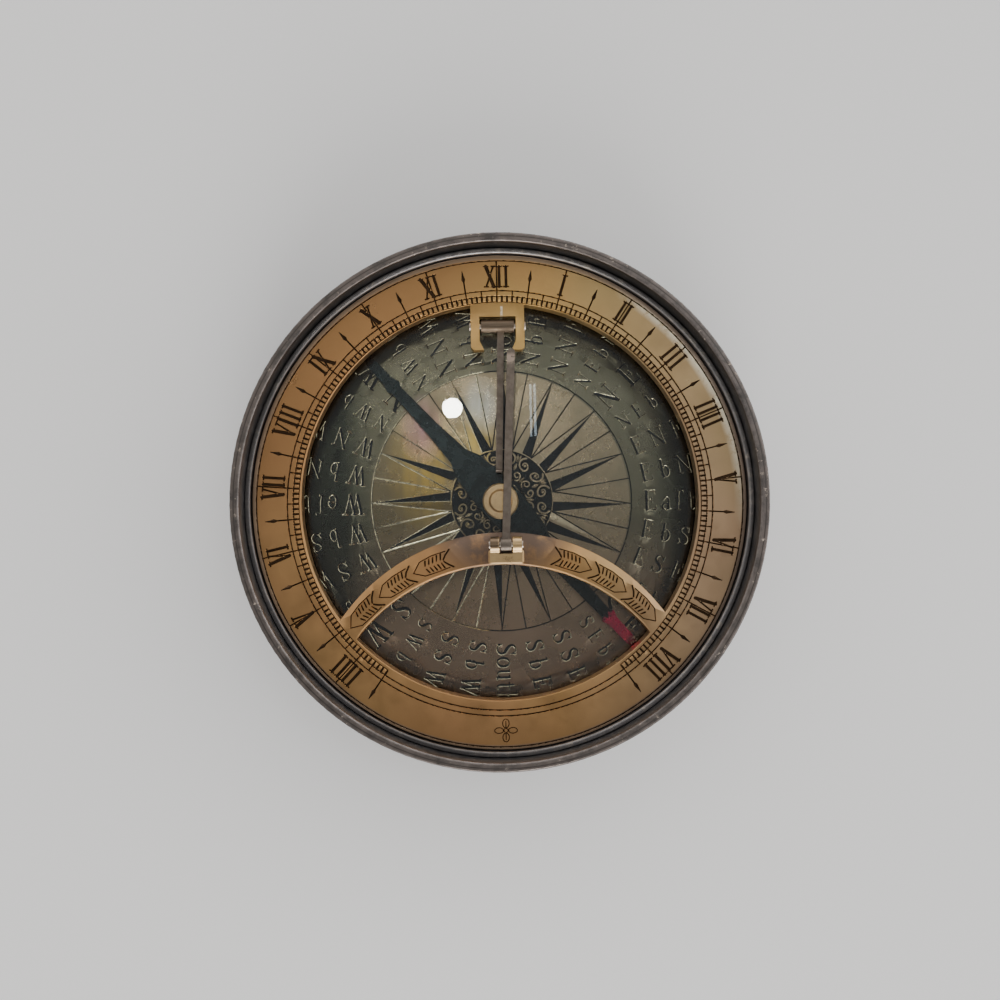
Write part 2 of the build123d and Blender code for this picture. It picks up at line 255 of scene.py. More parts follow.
def plate(name, loops, inside, relief, top, bottom, edge_bevel, materials, pick):
    """An engraved plate. loops are its outlines with the side that each bevel lies on, inside(points) says
    which points lie on it, edge_bevel(x, y) is the bevel's width, and pick(centres, slopes) gives each top
    face's material."""
    bevels = []
    for loop, side in loops:
        widths = [edge_bevel(x, y) * side for x, y in loop]
        for share in ROUND_STEPS:
            bevels.append((offset_loop(loop, [w * share for w in widths]), True))
    points, faces = triangulate([(loop, True) for loop, _ in loops] + bevels + relief.outlines)
    centres = np.array([points[list(f)].mean(axis=0) for f in faces])
    faces = [f for f, keep in zip(faces, inside(centres)) if keep]
    border = np.full(len(points), FAR)
    for loop, _ in loops:
        ring = np.array(loop)
        for a, b in zip(ring, np.roll(ring, -1, axis=0)):
            d = b - a
            t = np.clip(((points - a) @ d) / max(d @ d, TINY ** 2), 0, 1)
            border = np.minimum(border, np.hypot(*(points - a - t[:, None] * d).T))
    bevel = np.array([edge_bevel(x, y) for x, y in points])
    round_off = np.clip(1 - border / bevel, 0, 1)
    drop = bevel * ROUND_DROP * (1 - np.sqrt(np.clip(1 - round_off ** 2, 0, 1)))
    depth = np.maximum(relief.depth(points), drop)
    used = sorted({v for f in faces for v in f})
    index = {v: i for i, v in enumerate(used)}
    bm = bmesh.new()
    made = [bm.verts.new((points[v][0], points[v][1], top - depth[v])) for v in used]
    for face in faces:
        corners = [made[index[v]] for v in face]
        if bm.faces.get(corners) is None:
            bm.faces.new(corners)
    bm.normal_update()
    where = np.array([face.calc_center_median()[:2] for face in bm.faces])
    slopes = np.array([degrees(face.normal.angle((0, 0, 1), 0)) for face in bm.faces])
    for face, slot in zip(bm.faces, pick(where, np.minimum(slopes, 180 - slopes))):
        face.material_index = int(slot)
    rim = [e for e in bm.edges if e.is_boundary]
    for vert in bmesh.ops.extrude_edge_only(bm, edges=rim)["geom"]:
        if isinstance(vert, bmesh.types.BMVert):
            vert.co.z = bottom
    low_edges = [e for e in bm.edges if e.is_boundary]
    bmesh.ops.triangle_fill(bm, use_beauty=True, use_dissolve=False, edges=low_edges)
    bmesh.ops.recalc_face_normals(bm, faces=bm.faces)
    mesh = bpy.data.meshes.new(name)
    bm.to_mesh(mesh)
    bm.free()
    for material in materials:
        mesh.materials.append(material)
    mark_sharp(mesh)
    return new_object(name, mesh)


def offset_loop(loop, amount):
    """The loop moved to its left by amount, which is one number or one for each point."""
    n = len(loop)
    amounts = amount if isinstance(amount, list) else [amount] * n
    out = []
    for i in range(n):
        before, here, after = Vector(loop[i - 1]), Vector(loop[i]), Vector(loop[(i + 1) % n])
        d1, d2 = (here - before).normalized(), (after - here).normalized()
        n1, n2 = Vector((-d1.y, d1.x)), Vector((-d2.y, d2.x))
        middle = (n1 + n2).normalized() if (n1 + n2).length > 1e-6 else n1
        out.append(tuple(here + middle * (amounts[i] / max(middle.dot(n1), 0.35))))
    return out


def arc(cx, cy, r, start, end, step=ARC_STEP):
    """Points on an arc, its angles in degrees anticlockwise from +X."""
    n = max(2, round(abs(end - start) / step))
    return [(cx + r * cos(radians(start + (end - start) * i / n)),
             cy + r * sin(radians(start + (end - start) * i / n))) for i in range(n + 1)]


def polar(r, bearing):
    """The point at a radius and a bearing clockwise from XII."""
    return r * sin(radians(bearing)), r * cos(radians(bearing))


# ---- Letters and numerals, as strokes of (x, y, half-width) with the cap height as 1 ----
THICK = 0.085
THIN = 0.045
FINE = 0.02
STEM = THICK * 0.9
X_HEIGHT = 0.64


def line(x0, y0, x1, y1, w0, w1=None):
    """One straight stroke."""
    return [(x0, y0, w0), (x1, y1, w0 if w1 is None else w1)]


def serif(x, y, reach=0.13):
    """A thin foot across the end of a stem."""
    return line(x - reach, y, x + reach, y, THIN)


def bowl(cx, cy, rx, ry, start=0, end=360, heavy=THICK):
    """Part of a ring that is heavy at its sides and thin at its top and foot."""
    n = max(6, round(abs(end - start) / 24))
    out = []
    for i in range(n + 1):
        a = radians(start + (end - start) * i / n)
        out.append((cx + rx * cos(a), cy + ry * sin(a), THIN + (heavy - THIN) * abs(cos(a)) ** 1.5))
    return out


# Each letter is its advance and its strokes. "s" is the long s that the dial uses inside a word.
LETTERS = {
    "N": (0.86, [
        line(0.14, 0, 0.14, 1, THIN), line(0.12, 1, 0.72, 0, THICK), line(0.72, 0, 0.72, 1, THIN),
        serif(0.14, 0), serif(0.72, 1), line(0.0, 1, 0.16, 1, THIN)]),
    "E": (0.74, [
        line(0.18, 0, 0.18, 1, THICK), line(0.05, 0, 0.64, 0, THIN), line(0.05, 1, 0.6, 1, THIN),
        line(0.18, 0.52, 0.46, 0.52, THIN), line(0.6, 1, 0.62, 0.8, THIN, FINE),
        line(0.64, 0, 0.68, 0.24, THIN, FINE), line(0.46, 0.62, 0.46, 0.42, THIN)]),
    "S": (0.68, [
        smooth_path([(0.56, 0.78, THIN), (0.46, 0.96, THIN), (0.28, 0.98, 0.05), (0.13, 0.84, 0.07),
                     (0.17, 0.64, THICK), (0.36, 0.5, 0.1), (0.53, 0.35, THICK), (0.54, 0.14, 0.07),
                     (0.38, 0.01, THIN), (0.18, 0.04, THIN), (0.08, 0.22, THIN)], 3),
        line(0.57, 0.98, 0.57, 0.74, THIN), line(0.07, 0.02, 0.07, 0.26, THIN)]),
    "W": (1.12, [
        line(0.12, 1, 0.34, 0, THICK), line(0.34, 0, 0.54, 1, THIN), line(0.46, 1, 0.7, 0, THICK),
        line(0.7, 0, 0.96, 1, THIN), serif(0.12, 1), serif(0.5, 1), serif(0.96, 1)]),
    "a": (0.52, [
        line(0.38, 0.06, 0.38, 0.46, THICK * 0.85),
        smooth_path([(0.1, 0.5, 0.05), (0.22, X_HEIGHT, THIN), (0.36, 0.58, 0.05), (0.38, 0.44, THICK)], 3),
        bowl(0.22, 0.17, 0.16, 0.17, 60, 330, 0.07), line(0.38, 0.06, 0.5, 0.02, THIN)]),
    "b": (0.56, [
        line(0.14, 0, 0.14, 1, STEM), line(0.02, 1, 0.14, 1, THIN), bowl(0.28, 0.31, 0.2, 0.31, -160, 160)]),
    "e": (0.5, [bowl(0.25, 0.32, 0.2, 0.32, 10, 320), line(0.07, 0.36, 0.44, 0.36, THIN)]),
    "h": (0.62, [
        line(0.14, 0, 0.14, 1, STEM), serif(0.14, 0, 0.11), line(0.02, 1, 0.14, 1, THIN),
        smooth_path([(0.14, 0.46, THIN), (0.26, 0.62, THIN), (0.4, 0.6, 0.06), (0.46, 0.42, 0.075),
                     (0.46, 0, 0.075)], 3), serif(0.46, 0, 0.11)]),
    "o": (0.56, [bowl(0.27, 0.32, 0.22, 0.32)]),
    "r": (0.46, [
        line(0.14, 0, 0.14, X_HEIGHT, STEM), serif(0.14, 0, 0.11), line(0.02, X_HEIGHT, 0.14, X_HEIGHT, THIN),
        smooth_path([(0.14, 0.4, THIN), (0.24, 0.6, THIN), (0.38, 0.6, 0.07)], 3)]),
    "t": (0.4, [
        smooth_path([(0.16, 0.86, 0.05), (0.16, 0.5, STEM), (0.17, 0.12, 0.07), (0.26, 0, THIN),
                     (0.38, 0.08, THIN)], 3), line(0.02, 0.62, 0.34, 0.62, THIN)]),
    "u": (0.62, [
        smooth_path([(0.13, X_HEIGHT, 0.07), (0.13, 0.2, 0.075), (0.22, 0.02, THIN), (0.36, 0.06, THIN),
                     (0.45, 0.2, THIN)], 3), line(0.45, 0, 0.45, X_HEIGHT, STEM),
        line(0.02, X_HEIGHT, 0.13, X_HEIGHT, THIN), line(0.34, X_HEIGHT, 0.45, X_HEIGHT, THIN),
        line(0.45, 0, 0.56, 0, THIN)]),
    "s": (0.4, [
        smooth_path([(0.12, 0, 0.05), (0.14, 0.4, STEM), (0.15, 0.8, 0.07), (0.24, 0.98, THIN),
                     (0.4, 0.94, 0.06)], 3), line(0.02, 0.6, 0.14, 0.6, THIN), serif(0.13, 0, 0.1)]),
}

# Roman figures, in the same form.
FIGURES = {
    "I": (0.33, [line(0.165, 0, 0.165, 1, 0.07), serif(0.165, 0, 0.11), serif(0.165, 1, 0.11)]),
    "V": (0.56, [
        line(0.1, 1, 0.29, 0, THICK), line(0.29, 0, 0.48, 1, THIN), serif(0.1, 1, 0.11),
        serif(0.48, 1, 0.09)]),
    "X": (0.58, [
        line(0.1, 1, 0.48, 0, 0.09), line(0.12, 0, 0.46, 1, THIN), serif(0.1, 1, 0.1), serif(0.46, 1, 0.09),
        serif(0.12, 0, 0.09), serif(0.48, 0, 0.1)]),
}


def put_strokes(relief, strokes, at, along, up, size, depth):
    """Engrave strokes whose x runs along one direction and whose y runs up another."""
    for stroke in strokes:
        relief.groove([(at[0] + (x * along[0] + y * up[0]) * size, at[1] + (x * along[1] + y * up[1]) * size,
                        w * size) for x, y, w in stroke], depth)


# ---- Hour ring ----
HOURS = ("IIII", "V", "VI", "VII", "VIII", "IX", "X", "XI", "XII", "I", "II", "III", "IIII", "V", "VI", "VII",
         "VIII")
HOUR_STEP = 17.05  # degrees
FIRST_HOUR = -8 * HOUR_STEP
LINE_W = 0.11 * MM  # half-width of the engraved lines
OUTER_LINE = 34.6 * MM
NUMERAL_FOOT = 30.85 * MM
NUMERAL_HEIGHT = 2.95 * MM
SCALE_OUTER = 30.27 * MM
SCALE_INNER = 29.45 * MM
TICK_END = 28.65 * MM
SPEAR_NECK = 31.8 * MM
SPEAR_BARB = SPEAR_NECK + 0.45 * MM
SPEAR_SHOULDER = SPEAR_NECK + 0.85 * MM
SPEAR_TIP = 33.45 * MM
TICK_HALF = 0.16 * MM
FLOWER_R = 32.3 * MM
RING_MARKS_NORTH = -0.2 * MM  # the engraving stands a little south of the ring's centre
CUT = 0.16 * MM  # depth of the numerals
LINE_CUT = CUT * 0.8


def circle_groove(relief, r, start, end, w, depth):
    """A turned line from one bearing to another."""
    n = round(abs(end - start) / ARC_STEP)
    relief.groove([(*polar(r, start + (end - start) * i / n), w) for i in range(n + 1)], depth)


def radial_groove(relief, r0, r1, bearing, w, depth):
    """A straight line along a bearing."""
    relief.groove([(*polar(r0, bearing), w), (*polar(r1, bearing), w)], depth)


def ring_relief():
    """Every engraved mark of the hour ring and its arch."""
    relief = Relief(bevel=0.08 * MM)
    for r in (OUTER_LINE, SCALE_OUTER, SCALE_INNER):
        circle_groove(relief, r, -180, 180, LINE_W, LINE_CUT)
    for i, name in enumerate(HOURS):
        bearing = FIRST_HOUR + i * HOUR_STEP
        radial_groove(relief, TICK_END, OUTER_LINE, bearing, LINE_W, CUT * 0.9)
        up = polar(1, bearing)
        along = (up[1], -up[0])
        width = sum(FIGURES[c][0] for c in name)
        x = -width / 2
        for c in name:
            foot = polar(NUMERAL_FOOT, bearing)
            start = (foot[0] + along[0] * x * NUMERAL_HEIGHT, foot[1] + along[1] * x * NUMERAL_HEIGHT)
            put_strokes(relief, FIGURES[c][1], start, along, up, NUMERAL_HEIGHT, CUT)
            x += FIGURES[c][0]
    half_hours = [FIRST_HOUR + (i + 0.5) * HOUR_STEP for i in range(-1, len(HOURS))]
    for bearing in half_hours:
        spear = ((SCALE_INNER, LINE_W), (SPEAR_NECK, LINE_W), (SPEAR_BARB, 0.28 * MM),
                 (SPEAR_SHOULDER, 0.19 * MM), (SPEAR_TIP, 0.05 * MM))
        relief.groove([(*polar(r, bearing), w) for r, w in spear], CUT)
    first, last = half_hours[0], half_hours[-1]
    circle_groove(relief, TICK_END, first, last, 0.09 * MM, LINE_CUT)
    for i in range(round((last - first) / (HOUR_STEP / 4)) + 1):
        radial_groove(relief, SCALE_INNER, SCALE_OUTER, first + i * HOUR_STEP / 4, LINE_W, LINE_CUT)
    for i in range(round((last - first) / (HOUR_STEP / 12)) + 1):
        radial_groove(relief, TICK_END + TICK_HALF, SCALE_INNER, first + i * HOUR_STEP / 12, TICK_HALF, CUT)
    flower(relief, polar(FLOWER_R, 180))
    for side in (-1, 1):
        for k in range(3):
            arch_leaf(relief, side, k)
    relief.move(0, RING_MARKS_NORTH)
    return relief


def ellipse_path(cx, cy, rx, ry, w, n=16):
    """A closed stroke round an ellipse."""
    return [(cx + rx * cos(2 * pi * i / n), cy + ry * sin(2 * pi * i / n), w) for i in range(n + 1)]


def flower(relief, at):
    """Four outlined petals round a small eye, the upright pair taller."""
    w = 0.07 * MM
    petal = 0.98 * MM
    for sign in (-1, 1):
        relief.groove(ellipse_path(at[0], at[1] + sign * petal, 0.46 * MM, 0.62 * MM, w), CUT)
        relief.groove(ellipse_path(at[0] + sign * petal, at[1], 0.62 * MM, 0.4 * MM, w), CUT)
        relief.groove([(at[0], at[1] + sign * 0.3 * MM, w), (at[0], at[1] + sign * 1.3 * MM, w)], CUT)
    relief.groove(ellipse_path(*at, 0.3 * MM, 0.3 * MM, w, 10), CUT)


LEAF_FIRST = 15.3  # degrees along the arch from its crown
LEAF_PITCH = 12.3
LEAF_SPAN = 12.1
LEAF_HALF = 1.3 * MM
LEAF_LINE = 0.08 * MM
LEAF_NOTCH = 0.13 * MM
LEAF_BARB = 0.12 * MM
BARBS = 5


def arch_point(side, along, across):
    """A point of the arch: along in degrees from its crown, across from its middle line, outwards."""
    centre_y = (ARCH_Y + ARCH_UNDER_Y) / 2
    middle = (ARCH_R + ARCH_UNDER_R) / 2
    r = middle + across
    return side * r * sin(radians(along)), centre_y + r * cos(radians(along))


def arch_leaf(relief, side, k):
    """A feather on the arch: pointed towards the root, notched towards the crown, with a row of barbs each
    side of its bare spine. Along it u runs from 0 to 1, and across it v from -1 to 1."""
    start = LEAF_FIRST + k * LEAF_PITCH

    def put(path, width):
        relief.groove([(*arch_point(side, start + u * LEAF_SPAN, v * LEAF_HALF), width)
                       for u, v in path], CUT)

    for sign in (-1, 1):
        put([(0.1, 0.92 * sign), (0.45, 0.95 * sign), (0.76, 0.82 * sign), (1.0, 0.0)], LEAF_LINE)
        put([(0.0, 0.98 * sign), (0.13, 0.5 * sign), (0.2, 0.1 * sign)], LEAF_NOTCH)
        for j in range(BARBS):
            u = 0.27 + j * 0.1
            put([(u, 0.2 * sign), (u - 0.045, (0.8 - 0.03 * j) * sign)], LEAF_BARB)


def ring_loops():
    """Outlines of the ring: its rim, the big window round the tab, and the window under the arch."""
    tab_angle = degrees(asin(TAB_HALF / RING_INNER))
    root_y = ARCH_Y / 2
    root_angle = degrees(asin(root_y / RING_INNER))
    big = arc(0, 0, RING_INNER, 90 - tab_angle, root_angle)
    over_angle = degrees(atan2(root_y - ARCH_Y, sqrt(RING_INNER ** 2 - root_y ** 2)))
    big += arc(0, ARCH_Y, ARCH_R, over_angle, 180 - over_angle)[1:]
    big += arc(0, 0, RING_INNER, 180 - root_angle, 90 + tab_angle)[1:]
    half_tab = [(TAB_HALF, TAB_END + TAB_CORNER), (TAB_HALF - TAB_CORNER, TAB_END),
                (WINDOW_HALF - PRONG_CURL, TAB_END), (WINDOW_HALF, TAB_END + PRONG_RISE),
                (WINDOW_HALF, WINDOW_TOP)]
    big += [(-x, y) for x, y in half_tab]
    big += half_tab[::-1]
    reach = abs(ARCH_UNDER_Y)
    corner_y = -(RING_INNER ** 2 - ARCH_UNDER_R ** 2 + reach ** 2) / (2 * reach)
    corner_x = sqrt(RING_INNER ** 2 - corner_y ** 2)
    arch_angle = degrees(atan2(corner_y - ARCH_UNDER_Y, corner_x))
    low_angle = degrees(atan2(corner_y, -corner_x)) + 360
    under = arc(0, ARCH_UNDER_Y, ARCH_UNDER_R, arch_angle, 180 - arch_angle)
    under += arc(0, 0, RING_INNER, low_angle, 540 - low_angle)[1:]
    return clean_loop(arc(0, 0, RING_R, 0, 360, 1.2)), clean_loop(big), clean_loop(under)


def in_loop(points, loop):
    """Which points lie inside the loop, by crossing number."""
    ring = np.array(loop)
    inside = np.zeros(len(points), bool)
    x, y = points[:, 0], points[:, 1]
    for (x0, y0), (x1, y1) in zip(ring, np.roll(ring, -1, axis=0)):
        if y0 == y1:
            continue
        crosses = (y0 > y) != (y1 > y)
        inside ^= crosses & (x < (x1 - x0) * (y - y0) / (y1 - y0) + x0)
    return inside


# ---- Compass card ----
ROSE_R = 19.6 * MM
STAR_R = 7.75 * MM
HUB_R = 2.9 * MM
CARD_CUT = 0.045 * MM
SCROLL_CUT = CARD_CUT * 3
RAY_W = 0.10 * MM
ROSE_AT = (0.28 * MM, 0.16 * MM)  # the engraving stands a little off the card's centre
POINTS = (
    "North", "NbE", "NNE", "NEbN", "NE", "NEbE", "ENE", "EbN", "East", "EbS", "ESE", "SEbE", "SE", "SEbS",
    "SSE", "SbE", "South", "SbW", "SSW", "SWbS", "SW", "SWbW", "WSW", "WbS", "West", "WbN", "WNW", "NWbW",
    "NW", "NWbN", "NNW", "NbW",
)
POINT_STEP = 360 / len(POINTS)


def spiral(u, v, start_r, end_r, start, turns, hand, w0, w1):
    """A scroll round (u, v), from its open end to its eye, in millimetres across and out."""
    n = round(abs(turns) * 14)
    out = []
    for i in range(n + 1):
        t = i / n
        r = start_r * (end_r / start_r) ** t
        a = radians(start) + hand * 2 * pi * turns * t
        out.append((u + r * cos(a), v + r * sin(a), w0 + (w1 - w0) * t))
    return out


def scroll_motif():
    """Raised strokes of one eighth of the scrollwork, in millimetres across and out from the hub."""
    motif = []
    for side in (-1, 1):
        motif.append(spiral(side * 1.32, 6.2, 1.12, 0.34, 90 + side * 10, 1.25, side, 0.2, 0.15))
        motif.append([(side * 1.32, 6.2, 0.24), (side * 1.36, 6.24, 0.24)])
        motif.append(spiral(side * 0.72, 4.35, 0.74, 0.26, 270, 1.2, side, 0.18, 0.14))
        motif.append([(side * 0.1, 3.15, 0.14), (side * 0.35, 3.5, 0.12), (side * 0.75, 3.62, 0.08)])
        motif.append([(side * 1.9, 4.75, 0.08), (side * 1.75, 4.3, 0.22), (side * 1.35, 3.6, 0.08)])
        motif.append([(side * 0.25, 7.35, 0.07), (side * 0.2, 6.9, 0.2), (side * 0.12, 6.2, 0.07)])
    motif.append([(0, 4.9, 0.07), (0, 5.45, 0.24), (0, 6.05, 0.07)])
    return motif


def put_scrolls(relief):
    """The scrollwork, raised, eight times round."""
    for k in range(8):
        middle = 22.5 + 45 * k
        for stroke in scroll_motif():
            relief.groove([(*polar(v * MM, middle + degrees(u / v)), w * MM)
                           for u, v, w in stroke], 1.0, raised=True)


LABELS_AT = (0.3 * MM, -0.35 * MM)  # the names' centre, from the rose's
LABEL_START = 21.1 * MM
LABEL_TURN = 0.4  # degrees that the names stand clockwise of their points
# Capital height and gap between letters in mm, by the number of letters in the name.
LABEL_SIZES = {2: (3.2, 2.2), 3: (2.6, 1.15), 4: (2.15, 1.05), 5: (2.85, 0.17)}
EAST_WEST = (2.9, 0.6)
DRIFT = 1.3  # degrees
RAYS = 16
RAY_STEP = 360 / RAYS


def drift(bearing):
    """How far clockwise the engraver's rays stray from their true bearing."""
    return DRIFT + DRIFT * sin(radians(bearing))


def put_label(relief, word, bearing):
    """A point's name, reading outwards from the rose."""
    along = polar(1, bearing)
    up = (-along[1], along[0])
    height, gap = EAST_WEST if word in ("East", "West") else LABEL_SIZES[len(word)]
    size = height * MM
    r = LABEL_START
    for c in word:
        advance, strokes = LETTERS[c]
        foot = (LABELS_AT[0] + along[0] * r - up[0] * size * 0.48,
                LABELS_AT[1] + along[1] * r - up[1] * size * 0.48)
        put_strokes(relief, strokes, foot, along, up, size, CARD_CUT)
        r += advance * size + gap * MM


def card_relief():
    """The sixteen-rayed rose, its scrollwork and the names of the thirty-two points."""
    relief = Relief(bevel=0.07 * MM)
    circle_groove(relief, ROSE_R, 0, 360, RAY_W, CARD_CUT)
    relief.ring_ground(HUB_R, STAR_R - 0.15 * MM, SCROLL_CUT)
    put_scrolls(relief)
    for k in range(RAYS):
        bearing = RAY_STEP * k + drift(RAY_STEP * k)
        tip = polar(ROSE_R - 0.05 * MM, bearing)
        spine = polar(STAR_R, bearing)
        before, after = polar(STAR_R, bearing - POINT_STEP), polar(STAR_R, bearing + POINT_STEP)
        relief.hollow([spine, after, tip], CARD_CUT)
        relief.groove([(*before, RAY_W), (*tip, RAY_W)], CARD_CUT)
        relief.groove([(*after, RAY_W), (*polar(ROSE_R, bearing + POINT_STEP), RAY_W)], CARD_CUT)
    for i, word in enumerate(POINTS):
        put_label(relief, word, i * POINT_STEP + LABEL_TURN)
    return relief


# ---- Materials ----
class Shader:
    """A node tree and short ways of adding to it. The values passed about are sockets or plain numbers."""

    def __init__(self, tree, space="Object"):
        self.nodes = tree.nodes
        self.links = tree.links
        self.place = self.node("TexCoord").outputs[space]
        self.x, self.y, self.z = self.node("SeparateXYZ", Vector=self.place).outputs

    def feed(self, value, socket):
        """Link a value that is a socket, or set one that is a number or a colour."""
        if isinstance(value, bpy.types.NodeSocket):
            self.links.new(value, socket)
        elif socket.type == "RGBA":
            socket.default_value = (*value, 1)
        else:
            socket.default_value = value

    def node(self, kind, **values):
        """A node with its inputs linked or set."""
        node = self.nodes.new("ShaderNode" + kind)
        for name, value in values.items():
            self.feed(value, node.inputs[name.replace("_", " ")])
        return node

    def math(self, operation, a, b=0.0):
        """One arithmetic node."""
        node = self.node("Math")
        node.operation = operation
        self.feed(a, node.inputs[0])
        self.feed(b, node.inputs[1])
        return node.outputs[0]

    def add(self, a, b):
        return self.math("ADD", a, b)

    def less(self, a, b):
        return self.math("SUBTRACT", a, b)

    def times(self, a, b):
        return self.math("MULTIPLY", a, b)

    def squares(self, a, b):
        """a squared plus b squared."""
        return self.add(self.times(a, a), self.times(b, b))

    def length(self, a, b):
        """Length of the flat vector (a, b)."""
        return self.math("SQRT", self.squares(a, b))

    def ramp(self, value, low, high, out_low=0.0, out_high=1.0):
        """value from low to high mapped to out_low to out_high, clamped."""
        return self.node("MapRange", Value=value, From_Min=low, From_Max=high, To_Min=out_low,
                         To_Max=out_high).outputs["Result"]

    def line(self, value, middle, fade, core, full=1.0):
        """A mask along value = middle, which is full within core of it and gone past fade."""
        return self.ramp(self.math("ABSOLUTE", self.less(value, middle)), fade, core, 0.0, full)

    def mix(self, share, a, b):
        """Colour a with a share of colour b."""
        node = self.node("Mix")
        node.data_type = "RGBA"
        self.feed(share, node.inputs["Factor"])
        self.feed(a, node.inputs["A"])
        self.feed(b, node.inputs["B"])
        return node.outputs["Result"]

    def noise(self, scale, detail, rough, stretch=(1, 1, 1)):
        """Fractal noise, stretched per axis."""
        mapping = self.node("Mapping", Vector=self.place, Scale=stretch)
        return self.node("TexNoise", Vector=mapping.outputs["Vector"], Scale=scale, Detail=detail,
                         Roughness=rough).outputs["Fac"]

    def wear_and_sheen(self, colour, where, tone, grain, cut):
        """Lay a tone over the colour where a mask and ragged noise agree, for wear and for painted
        highlights.
        """
        ragged = self.ramp(self.noise(grain, 6, 0.75), *cut)
        return self.mix(self.times(where, ragged), colour, tone)


def material(name):
    """A new node material and its surface node."""
    mat = bpy.data.materials.new(name)
    mat.use_nodes = True
    return mat, mat.node_tree.nodes["Principled BSDF"]


FINE_SCALE = 9000.0  # noise scale of the fine streaks
FINE_SHARE = 0.45  # their strength in the colour
FINE_DULL = 0.7  # their tone, as a share of the base colour
SCRATCH_DEEP = 0.04 * MM  # their depth in the bump


def metal(name, base, patina, rough, blotch, span=(0.45, 0.7), fine_streak=0.0, stretch=(1, 1, 1), metallic=1.0,
          tint=None):
    """Aged metal: a base colour under blotchy patina, fine streaks and uneven gloss. tint(shader, colour) may
    lay more colour over it."""
    mat, surface = material(name)
    s = Shader(mat.node_tree)
    patch = s.noise(blotch, 8, 0.62)
    colour = s.mix(s.ramp(patch, *span), base, patina)
    fine = s.noise(FINE_SCALE, 3, 0.7, stretch)
    dull = tuple(c * FINE_DULL for c in base)
    colour = s.mix(s.ramp(fine, 0.3, 0.7, 0.0, FINE_SHARE), colour, dull)
    if tint:
        colour = tint(s, colour)
    s.feed(colour, surface.inputs["Base Color"])
    s.feed(s.ramp(patch, 0.3, 0.75, rough * 0.8, min(1.0, rough * 1.4)), surface.inputs["Roughness"])
    surface.inputs["Metallic"].default_value = metallic
    if fine_streak:
        bump = s.node("Bump", Height=fine, Strength=fine_streak, Distance=SCRATCH_DEEP)
        s.feed(bump.outputs["Normal"], surface.inputs["Normal"])
    return mat


LIP_WALL_R = 36.4 * MM  # inside this radius is the lip's dark inner wall
LIP_LINE_R = 36.9 * MM  # a dark turned line on the lip
LIP_EDGE_R = 37.28 * MM  # outside this radius the lip is dark


def lip_wear_and_shade(s, colour):
    """Brown rubbed metal on the lip with a dark line, a dark edge and bright flecks, a lip wall darkened to
    the north by painted shade, and rubbed spots along the foot."""
    r = s.length(s.x, s.y)
    top = s.ramp(s.z, LIP_Z - 0.35 * MM, LIP_Z - 0.1 * MM)
    # painted shade: the lip's inner wall grows darker towards the north
    south_wall, north_wall_shade = (0.23, 0.23, 0.24), (0.085, 0.085, 0.088)
    wall = s.mix(s.ramp(s.y, 2 * MM, 26 * MM), south_wall, north_wall_shade)
    colour = s.mix(s.ramp(r, LIP_WALL_R + 0.2 * MM, LIP_WALL_R - 0.2 * MM), colour, wall)
    brown = (0.235, 0.20, 0.185)
    colour = s.mix(s.times(top, 0.75), colour, brown)
    line = s.line(r, LIP_LINE_R, 0.12 * MM, 0.03 * MM, 0.7)
    edge = s.math("MAXIMUM", line, s.ramp(r, LIP_EDGE_R, LIP_EDGE_R + 0.12 * MM, 0.0, 0.85))
    black = (0.045, 0.040, 0.038)
    colour = s.mix(s.times(top, edge), colour, black)
    grey, fleck, rubbed = (0.10, 0.092, 0.088), (0.55, 0.47, 0.40), (0.3, 0.24, 0.2)
    colour = s.wear_and_sheen(colour, top, grey, 350.0, (0.45, 0.65))
    colour = s.wear_and_sheen(colour, top, fleck, 900.0, (0.62, 0.68))
    foot = s.ramp(s.z, 0.5 * MM, 0.1 * MM)
    return s.wear_and_sheen(colour, foot, rubbed, 900.0, (0.45, 0.6))


def bead_wear_and_painted_light(s, colour):
    """Silvery rubbing along the sleeve's bead, partly wear and partly painted highlight, and painted shade
    that darkens the sleeve in the west.
    """
    top = s.ramp(s.z, BEAD_Z - 0.3 * MM, BEAD_Z - 0.05 * MM)
    grey, silver, dark = (0.18, 0.16, 0.15), (0.40, 0.36, 0.32), (0.075, 0.07, 0.07)
    # the grey and silver on the bead's top are partly rubbed metal and partly a painted highlight
    colour = s.mix(s.times(top, 0.5), colour, grey)
    colour = s.wear_and_sheen(colour, top, silver, 700.0, (0.5, 0.66))
    # painted shade: the sleeve darker towards the west
    west = s.ramp(s.add(s.x, s.times(s.y, 0.5)), 0.0, -25 * MM, 0.0, 0.7)
    return s.mix(west, colour, dark)


CROWN_IN = 8.3666 * MM  # the arch is fully darkened inside this distance from the axis
CROWN_OUT = 12.6491 * MM  # and clean outside this one
# Place of the painted highlight along the tab
TAB_GLINT_X = 0.6 * MM
TAB_GLINT_SOUTH = 25.8 * MM
TAB_GLINT_NORTH = 27.8 * MM


